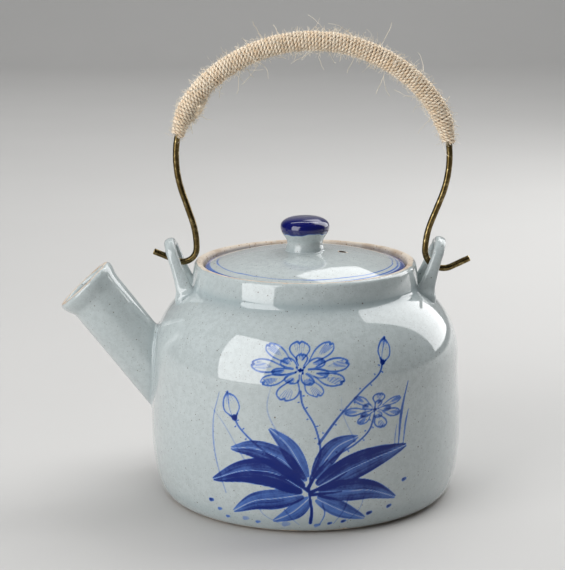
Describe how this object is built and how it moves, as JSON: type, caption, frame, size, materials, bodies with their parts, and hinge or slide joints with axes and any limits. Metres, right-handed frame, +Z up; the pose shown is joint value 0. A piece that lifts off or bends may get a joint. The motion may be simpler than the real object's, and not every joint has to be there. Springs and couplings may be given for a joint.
{
  "type": "teapot with bail handle",
  "caption": "Round stoneware teapot with a straight spout, an inset lid with a knob, and a swinging wire bail whose grip is wound with twine.",
  "frame": {"origin": "centre of the foot ring, on the surface the pot stands on", "axes": "+Z up; the spout points along -X; +Y runs from the painted front to the back"},
  "size_m": [0.1809, 0.1384, 0.2035],
  "materials": {
    "glaze": "glossy pale blue-grey celadon with sparse iron specks",
    "cobalt": "glossy cobalt glaze over celadon",
    "antique_brass": "darkened brass wire with bright edges",
    "hemp": "coarse under layer of twine",
    "jute": "cream twine, closely wound, with stray fibres"
  },
  "bodies": {
    "pot": {"pot_base": "glaze", "pot_body": "glaze", "pot_collar": "glaze", "spout": "glaze", "ear_spout_side": "glaze", "ear_far_side": "glaze"},
    "lid": {"lid": "glaze", "lid_knob": "cobalt"},
    "bail": {"bail_wire": "antique_brass", "grip_underwrap": "hemp", "grip_twine": "jute"}
  },
  "joints": [
    {"name": "bail_swing", "type": "hinge", "parent": "pot", "child": "bail", "pos_m": [0.002, 0, 0.1011], "axis": [0.9995, 0, -0.0314], "range_deg": [-55, 55]},
    {"name": "lid_lift", "type": "slide", "parent": "pot", "child": "lid", "axis": [0, 0, 1], "range_m": [0, 0.05]}
  ]
}
